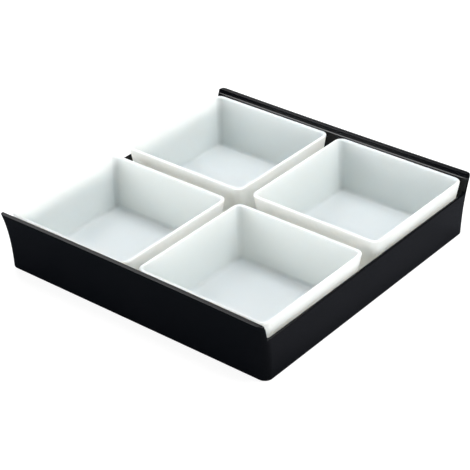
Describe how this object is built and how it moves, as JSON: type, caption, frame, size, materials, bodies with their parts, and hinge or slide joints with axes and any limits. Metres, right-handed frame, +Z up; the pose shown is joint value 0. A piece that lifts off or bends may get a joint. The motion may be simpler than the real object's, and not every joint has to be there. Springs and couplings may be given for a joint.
{
  "type": "divided snack tray",
  "caption": "Shallow square serving tray with two flared grip walls, holding loose square bowls that keep snacks apart and lift out.",
  "frame": {"origin": "middle of the tray's underside, on the surface that it stands on", "axes": "+Z up; the flared grip walls stand at -X and +X, the low straight walls at -Y (front) and +Y (back)"},
  "size_m": [0.2666, 0.2522, 0.0502],
  "materials": {
    "tray_black": "moulded melamine, black, satin to gloss",
    "bowl_white": "moulded melamine, white, gloss"
  },
  "bodies": {
    "tray": {"tray": "tray_black"},
    "bowl_front_left": {"bowl_front_left": "bowl_white"},
    "bowl_front_right": {"bowl_front_right": "bowl_white"},
    "bowl_back_left": {"bowl_back_left": "bowl_white"},
    "bowl_back_right": {"bowl_back_right": "bowl_white"}
  },
  "joints": [
    {"name": "lift_front_left", "type": "slide", "parent": "tray", "child": "bowl_front_left", "axis": [0, 0, 1], "range_m": [0, 0.06]},
    {"name": "lift_front_right", "type": "slide", "parent": "tray", "child": "bowl_front_right", "axis": [0, 0, 1], "range_m": [0, 0.06]},
    {"name": "lift_back_left", "type": "slide", "parent": "tray", "child": "bowl_back_left", "axis": [0, 0, 1], "range_m": [0, 0.06]},
    {"name": "lift_back_right", "type": "slide", "parent": "tray", "child": "bowl_back_right", "axis": [0, 0, 1], "range_m": [0, 0.06]}
  ]
}
